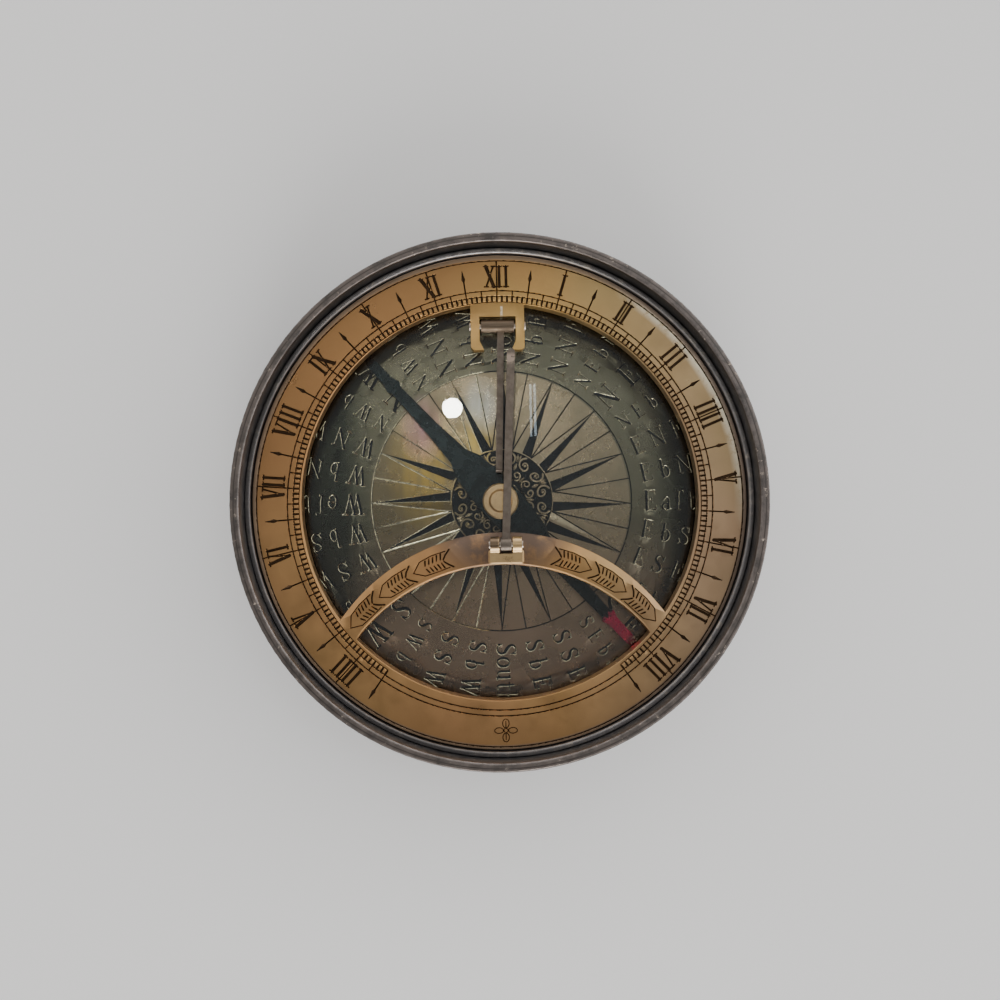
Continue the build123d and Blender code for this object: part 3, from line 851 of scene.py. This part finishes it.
def ring_tint(s, colour):
    """Broad golden areas at random. Painted reflections make the ring browner in the west, darker in the
    north-west, greyer in the east and olive in the north-east, where a painted highlight runs inside the rim.
    The margin outside the numerals is dull and darker in the east, the arch is dark and ragged round its
    crown, and the tab has a fine painted highlight."""
    r = s.length(s.x, s.y)
    golden, brown, dark = (0.54, 0.36, 0.13), (0.50, 0.285, 0.135), (0.37, 0.20, 0.09)
    greyer, olive, pale = (0.47, 0.33, 0.225), (0.34, 0.25, 0.115), (0.75, 0.66, 0.50)
    colour = s.mix(s.ramp(s.noise(55.0, 2, 0.5), 0.35, 0.65, 0.0, 0.8), colour, golden)
    # painted reflections: browner to the west, darker to the north-west, greyer to the east, olive to the
    # north-east
    west = s.less(s.times(s.x, -1.0), s.y)
    colour = s.mix(s.ramp(west, -20 * MM, 30 * MM, 0.0, 0.7), colour, brown)
    colour = s.mix(s.ramp(s.less(s.y, s.x), 22 * MM, 40 * MM, 0.0, 0.8), colour, dark)
    colour = s.mix(s.ramp(s.x, 8 * MM, 28 * MM, 0.0, 0.75), colour, greyer)
    north_east = s.ramp(s.add(s.x, s.times(s.y, 0.8)), 30 * MM, 40 * MM)
    colour = s.mix(s.times(north_east, 0.6), colour, olive)
    # painted highlight: a pale ragged line inside the rim in the north-east
    rim = s.ramp(r, OUTER_LINE - 1.3 * MM, OUTER_LINE - 0.3 * MM)
    rim = s.times(rim, s.ramp(s.x, 17 * MM, 22 * MM))
    colour = s.wear_and_sheen(colour, s.times(rim, north_east), pale, 900.0, (0.3, 0.5))

    margin = s.ramp(r, OUTER_LINE - 0.15 * MM, OUTER_LINE + 0.1 * MM, 0.0, 0.85)
    margin_tan, margin_dark = (0.38, 0.28, 0.20), (0.24, 0.18, 0.14)
    colour = s.mix(margin, colour, margin_tan)
    colour = s.mix(s.times(margin, s.ramp(s.x, 12 * MM, 26 * MM)), colour, margin_dark)

    crown = s.ramp(s.squares(s.x, s.y), CROWN_OUT ** 2, CROWN_IN ** 2)
    crown_brown, bright_tone = (0.19, 0.135, 0.105), (0.85, 0.74, 0.58)
    colour = s.wear_and_sheen(colour, crown, crown_brown, 260.0, (0.15, 0.5))
    # painted highlight: a thin bright line on the tab
    fine_streak = s.line(s.x, TAB_GLINT_X, 0.22 * MM, 0.1 * MM)
    fine_streak = s.times(fine_streak, s.ramp(s.y, TAB_GLINT_SOUTH - 0.1 * MM, TAB_GLINT_SOUTH + 0.1 * MM))
    fine_streak = s.times(fine_streak, s.ramp(s.y, TAB_GLINT_NORTH + 0.1 * MM, TAB_GLINT_NORTH - 0.1 * MM))
    return s.wear_and_sheen(colour, fine_streak, bright_tone, 1500.0, (0.35, 0.55))


# Painted highlights on the rose: east and north of the axis and reach, in mm, and the tone.
SHEEN_PATCHES = (
    (-11.0, 5.0, 6.5, (0.36, 0.25, 0.06)),
    (-11.5, 11.0, 3.5, (0.33, 0.17, 0.22)),
    (-3.5, 9.0, 3.5, (0.50, 0.36, 0.10)),
    (-2.6, 14.5, 3.0, (0.42, 0.44, 0.42)),
)


def card_tint(s, colour):
    """Painted reflections: tan within the rose and darker green outside it, browner in the west, reddish in
    the south, dark at the east and west edges, with streaked golden, blue-purple and white painted highlights
    on the rose's north-west."""
    r = s.length(s.x, s.y)
    brown, green = (0.10, 0.085, 0.045), (0.095, 0.098, 0.07)
    reddish, dark = (0.30, 0.20, 0.14), (0.020, 0.028, 0.023)
    # painted reflections: browner to the west, darker green outside the rose, reddish to the south
    west = s.ramp(s.add(s.x, s.times(s.y, 0.5)), 6 * MM, -14 * MM, 0.0, 0.7)
    colour = s.mix(west, colour, brown)
    colour = s.mix(s.ramp(r, ROSE_R - 0.1 * MM, ROSE_R + 0.1 * MM, 0.0, 0.8), colour, green)
    colour = s.mix(s.ramp(s.y, -3 * MM, -20 * MM, 0.0, 0.75), colour, reddish)
    # painted reflection: dark bands at the card's east and west edges
    edges = s.math("MAXIMUM", s.ramp(s.x, -19.0 * MM, -23.5 * MM), s.ramp(s.x, 22.5 * MM, 27.5 * MM))
    colour = s.mix(s.times(edges, 0.85), colour, dark)
    streaks = s.ramp(s.noise(700.0, 4, 0.6, (1, 0.06, 1)), 0.3, 0.6, 0.4, 1.0)
    # painted highlights: streaked patches on the rose's north-west
    for east, north, reach, tone in SHEEN_PATCHES:
        across = s.less(s.x, east * MM)
        along = s.times(s.less(s.y, north * MM), 0.6)
        patch = s.ramp(s.length(across, along), reach * MM, 0.0)
        colour = s.mix(s.times(patch, streaks), colour, tone)
    return colour


def bar_tint(s, colour):
    """Bare metal filed across the bar near its tip."""
    bright_tone = (0.42, 0.33, 0.27)
    return s.wear_and_sheen(colour, s.line(s.y, 19.9 * MM, 0.9 * MM, 0.4 * MM), bright_tone, 1600.0, (0.42, 0.5))


def clevis_tint(s, colour):
    """Painted shade darkens the west ear and the hinge behind it."""
    ear_shade = (0.11, 0.08, 0.062)
    # painted shade over the west ear and the hinge behind it
    dark = s.times(s.ramp(s.x, -0.2 * MM, -0.7 * MM), s.ramp(s.y, CLEVIS_FRONT, CLEVIS_FRONT + 0.5 * MM))
    return s.mix(s.times(dark, 0.85), colour, ear_shade)


def leg_tint(s, colour):
    """Browner brass round the prop's barrel."""
    brown = (0.15, 0.11, 0.075)
    return s.mix(s.ramp(s.y, 22.5 * MM, 24.2 * MM, 0.0, 0.8), colour, brown)


NEEDLE_BEARING = -42.0  # degrees clockwise from XII to the north arm at rest
PAINT_FROM = 23.1 * MM  # from the pivot to the edge of the paint on the south arm


def needle_tint(s, colour):
    """Crimson paint on the south arm past its barbs."""
    crimson = (0.40, 0.030, 0.075)
    bearing = radians(NEEDLE_BEARING)
    north = s.add(s.times(s.x, sin(bearing)), s.times(s.y, cos(bearing)))
    ragged = s.add(north, s.ramp(s.noise(900.0, 4, 0.7), 0.3, 0.7, -0.6 * MM, 0.6 * MM))
    return s.mix(s.ramp(ragged, -PAINT_FROM + 0.3 * MM, -PAINT_FROM - 0.3 * MM), colour, crimson)


BRASS = ((0.60, 0.42, 0.22), (0.42, 0.27, 0.14))
OXIDISED = ((0.21, 0.175, 0.145), (0.12, 0.10, 0.085))
MAT = {
    "ring": metal("ring_brass", (0.62, 0.335, 0.14), (0.42, 0.225, 0.10), 0.34, 260.0, (0.42, 0.66), 0.25,
                  stretch=(1, 0.12, 1), tint=ring_tint),
    "groove": metal("ring_groove", (0.060, 0.036, 0.020), (0.03, 0.02, 0.014), 0.5, 800.0),
    "card": metal("card_brass", (0.29, 0.235, 0.155), (0.19, 0.165, 0.11), 0.26, 180.0, (0.4, 0.65), 0.3,
                  stretch=(1, 0.05, 1), tint=card_tint),
    "card_groove": metal("card_groove", (0.012, 0.015, 0.018), (0.006, 0.008, 0.01), 0.3, 700.0),
    # a bright copy of the card's metal for steep cut walls: a painted highlight
    "card_glint_wall": metal("card_glint_wall", (0.62, 0.57, 0.40), (0.16, 0.16, 0.12), 0.16, 1500.0, (0.42, 0.62)),
    "case": metal("black_bronze", (0.082, 0.075, 0.068), (0.052, 0.047, 0.043), 0.40, 900.0, (0.3, 0.75), 0.3,
                  stretch=(0.03, 0.03, 1), tint=lip_wear_and_shade),
    "sleeve": metal("sleeve_bronze", (0.32, 0.32, 0.335), (0.19, 0.192, 0.2), 0.38, 500.0, (0.4, 0.65), 0.2,
                    tint=bead_wear_and_painted_light),
    "bright": metal("bright_brass", *BRASS, 0.33, 700.0, (0.5, 0.75), 0.2),
    "clevis": metal("clevis_brass", *BRASS, 0.33, 700.0, (0.5, 0.75), 0.2, tint=clevis_tint),
    "leg": metal("leg_brass", *OXIDISED, 0.42, 900.0, (0.4, 0.7), 0.4, tint=leg_tint),
    "bar": metal("oxidised_brass", *OXIDISED, 0.42, 900.0, (0.4, 0.7), 0.4, tint=bar_tint),
    "blued": metal("blued_steel", (0.016, 0.023, 0.025), (0.009, 0.012, 0.013), 0.26, 600.0, (0.4, 0.7), 0.2,
                   tint=needle_tint),
    "steel": metal("pin_steel", (0.50, 0.44, 0.38), (0.3, 0.25, 0.2), 0.35, 1200.0, (0.4, 0.7), 0.3),
    "dark": metal("dark_brass", (0.10, 0.085, 0.055), (0.05, 0.045, 0.03), 0.5, 500.0, (0.4, 0.7), 0.3),
    "jewel": metal("jewel_red", (0.40, 0.03, 0.06), (0.25, 0.02, 0.04), 0.12, 900.0, (0.5, 0.8),
                   metallic=0.0),
}


def glass_material():
    """Clear flat glass that lets lamplight through to the card."""
    mat, surface = material("cover_glass")
    for name, value in (("Base Color", (0.96, 0.98, 0.97, 1)), ("Roughness", 0.0), ("IOR", 1.5),
                        ("Transmission Weight", 1.0)):
        surface.inputs[name].default_value = value
    nodes, links = mat.node_tree.nodes, mat.node_tree.links
    path = nodes.new("ShaderNodeLightPath")
    clear = nodes.new("ShaderNodeBsdfTransparent")
    choose = nodes.new("ShaderNodeMixShader")
    links.new(path.outputs["Is Shadow Ray"], choose.inputs["Fac"])
    links.new(surface.outputs["BSDF"], choose.inputs[1])
    links.new(clear.outputs["BSDF"], choose.inputs[2])
    links.new(choose.outputs["Shader"], nodes["Material Output"].inputs["Surface"])
    return mat


MAT["glass"] = glass_material()


def dress(node, key):
    """Give a CAD node's own mesh a material."""
    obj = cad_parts[node]
    if not obj.material_slots:
        obj.data.materials.append(MAT[key])
    for place in obj.material_slots:
        place.material = MAT[key]


# ---- Pieces ----
ARCH_ROUND = 0.42 * MM  # rounded edge of the arch and the tab, inside INNER_PARTS_R
RIM_ROUND = 0.15 * MM  # rounded edge of the ring itself, outside RING_PARTS_R
INNER_PARTS_R = RING_INNER - 0.9 * MM
RING_PARTS_R = RING_INNER - 0.2 * MM
RING_DARK = CUT * 0.45  # faces deeper than this are dark
CARD_DARK = CARD_CUT * 0.3
# steep cut walls in the card's west and outside its rose take the bright wall material as a painted highlight
SHINY_SLOPE = 20  # degrees
SHINY_WEST = -2 * MM
CARD_ROUND = 0.05 * MM
CARD_HOLE_R = 1.05 * MM
CHORD_SHARE = 0.97  # the hole's straight sides pass a little inside its radius


def build_ring():
    """The hour ring with its numerals, scales, flower and leaves cut into it."""
    rim, big, under = ring_loops()
    relief = ring_relief()

    def inside(points):
        return in_loop(points, rim) & ~in_loop(points, big) & ~in_loop(points, under)

    def pick(centres, _):
        return relief.depth(centres) > RING_DARK

    def bevel(x, y):
        share = (hypot(x, y) - INNER_PARTS_R) / (RING_PARTS_R - INNER_PARTS_R)
        return ARCH_ROUND + (RIM_ROUND - ARCH_ROUND) * min(max(share, 0), 1)

    ring = plate("hour_ring_engraved", [(rim, 1), (big, -1), (under, -1)], inside, relief,
                 RING_TOP, RING_BOTTOM, bevel, [MAT["ring"], MAT["groove"]], pick)
    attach(ring, "case")
    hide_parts("hour_ring")


def build_card():
    """The engraved compass card, round the pivot's hole. Its cuts are dark, but their steep sides in the west
    and among the names take a bright material as a painted highlight."""
    rim = clean_loop(arc(0, 0, CARD_R, 0, 360, 2))
    hole = clean_loop(arc(0, 0, CARD_HOLE_R, 0, 360, 12))
    relief = card_relief()
    relief.move(*ROSE_AT)

    def inside(points):
        r = np.hypot(points[:, 0], points[:, 1])
        return (r < CARD_R) & (r > CARD_HOLE_R * CHORD_SHARE)

    def pick(centres, slopes):
        outside_rose = np.hypot(centres[:, 0], centres[:, 1]) > ROSE_R + 0.5 * MM
        shiny = (slopes > SHINY_SLOPE) & ((centres[:, 0] < SHINY_WEST) | outside_rose)
        return (relief.depth(centres) > CARD_DARK) * np.where(shiny, 2, 1)

    card = plate("compass_card_engraved", [(rim, 1), (hole, -1)], inside, relief, CARD_TOP, CARD_BOTTOM,
                 lambda x, y: CARD_ROUND, [MAT["card"], MAT["card_groove"], MAT["card_glint_wall"]], pick)
    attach(card, "case")
    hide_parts("compass_card")


build_ring()
build_card()

# ---- Carried-over CAD nodes ----
for key, node_names in {
    "case": ("case_cup",),
    "sleeve": ("inner_sleeve",),
    "dark": ("card_support_ring", "glass_spacer_ring", "glass_retaining_ring", "pivot_washer", "pivot_nut",
             "clevis_rivet"),
    "glass": ("glass",),
    "steel": ("pivot_post", "gnomon_pin", "prop_pin"),
    "jewel": ("needle_jewel",),
    "blued": ("needle",),
    "bright": ("needle_cap",),
    "clevis": ("gnomon_clevis",),
    "bar": ("gnomon",),
    "leg": ("prop_leg",),
}.items():
    for node_name in node_names:
        dress(node_name, key)


# ---- Stage, lights and camera ----
FLOOR_HALF = 0.6
FLOOR_Z = -0.02 * MM  # a little under the foot, so that the two faces don't share a plane


def stage():
    """A plain pale floor under the dial."""
    floor_mat, surface = material("floor")
    surface.inputs["Base Color"].default_value = (0.90, 0.90, 0.91, 1)
    surface.inputs["Roughness"].default_value = 0.7
    mesh = bpy.data.meshes.new("floor")
    corners = [(x * FLOOR_HALF, y * FLOOR_HALF, FLOOR_Z) for x, y in ((-1, -1), (1, -1), (1, 1), (-1, 1))]
    mesh.from_pydata(corners, [], [(0, 1, 2, 3)])
    mesh.materials.append(floor_mat)
    new_object("floor", mesh)


CAMERA_DISTANCE = 0.105  # from the lip's plane
CAMERA_FOCAL = 27.33  # mm, on the sensor's width
SENSOR_WIDTH = 36  # mm
CAMERA_ROLL = 1.2  # degrees that the dial leans anticlockwise in the picture
CAMERA_EAST = -0.02  # how far the dial's axis leans in the picture, to the right and up
CAMERA_NORTH = -0.03
AIM_RIGHT = 0.00023  # from the lip's centre to the middle of the view, in the lip's plane
AIM_UP = 0.000075


def add_camera():
    """The photograph's camera: close above the dial and looking almost straight down."""
    roll = radians(CAMERA_ROLL)
    right = Vector((cos(roll), -sin(roll), -CAMERA_EAST)).normalized()
    up = Vector((sin(roll), cos(roll), -CAMERA_NORTH))
    up = (up - right * up.dot(right)).normalized()
    back = right.cross(up)
    turn = Matrix((right, up, back)).transposed()
    lip_centre = Vector((0, 0, LIP_Z))
    place = lip_centre - right * AIM_RIGHT - up * AIM_UP + back * CAMERA_DISTANCE
    data = bpy.data.cameras.new("camera")
    data.sensor_width = SENSOR_WIDTH
    data.lens = CAMERA_FOCAL
    data.clip_start = MM
    cam = new_object("camera", data)
    cam.matrix_world = Matrix.Translation(place) @ turn.to_4x4()
    bpy.context.scene.camera = cam


def area_light(name, place, size, power, colour, target=(0, 0, 0), size_y=None):
    """A disc light of one size, or a strip of size by size_y."""
    light = bpy.data.lights.new(name, "AREA")
    light.shape = "RECTANGLE" if size_y else "DISK"
    light.size = size
    if size_y:
        light.size_y = size_y
    light.energy = power
    light.color = colour
    obj = new_object(name, light)
    obj.location = place
    obj.rotation_euler = (Vector(target) - Vector(place)).to_track_quat("-Z", "Y").to_euler()


# Name, place, size, power and colour of the disc lights, which point at the dial.
DISC_LIGHTS = (
    ("lamp", (-0.031, 0.1065, 0.62), 0.019, 0.14, (1.0, 0.97, 0.9)),
    ("sky_left", (-0.5, 0.35, 0.75), 0.6, 0.2, (1.0, 0.93, 0.82)),
    ("sky_right", (0.30, 0.24, 0.75), 0.25, 0.3, (0.92, 0.97, 1.0)),
    ("front", (0.05, -0.9, 0.35), 0.6, 6.0, (1.0, 0.98, 0.95)),
)
STRIP_EAST, STRIP_NORTH, STRIP_UP = 0.0456, 0.1032, 0.62
STRIP_APART = 0.004
STRIP_WIDTH, STRIP_LENGTH = 0.0022, 0.05
STRIP_POWER = 0.0012
STRIP_COLOUR = (0.75, 0.9, 1.0)
SKY_COLOUR = (1.0, 0.985, 0.96, 1)
SKY_LEAST = 0.26


def add_lights():
    """A sky that is dim overhead and brighter low down and to the east, a small lamp and a pair of strips
    that the glass shows, and soft fills."""
    world = bpy.data.worlds.new("studio")
    bpy.context.scene.world = world
    world.use_nodes = True
    sky = world.node_tree.nodes["Background"]
    s = Shader(world.node_tree, "Generated")
    east = s.add(s.times(s.x, 0.85), s.times(s.y, 0.5))
    horizon = s.times(s.ramp(s.z, 0.3, 0.93, 1.4, 0.0), s.ramp(east, -1.0, 1.0, 0.25, 1.75))
    sky.inputs["Color"].default_value = SKY_COLOUR
    s.feed(s.add(horizon, SKY_LEAST), sky.inputs["Strength"])
    for light in DISC_LIGHTS:
        area_light(*light)
    for name, side in (("strip_west", -0.5), ("strip_east", 0.5)):
        x = STRIP_EAST + side * STRIP_APART
        area_light(name, (x, STRIP_NORTH, STRIP_UP), STRIP_WIDTH, STRIP_POWER, STRIP_COLOUR,
                   (x, STRIP_NORTH, 0), STRIP_LENGTH)


stage()
add_camera()
add_lights()
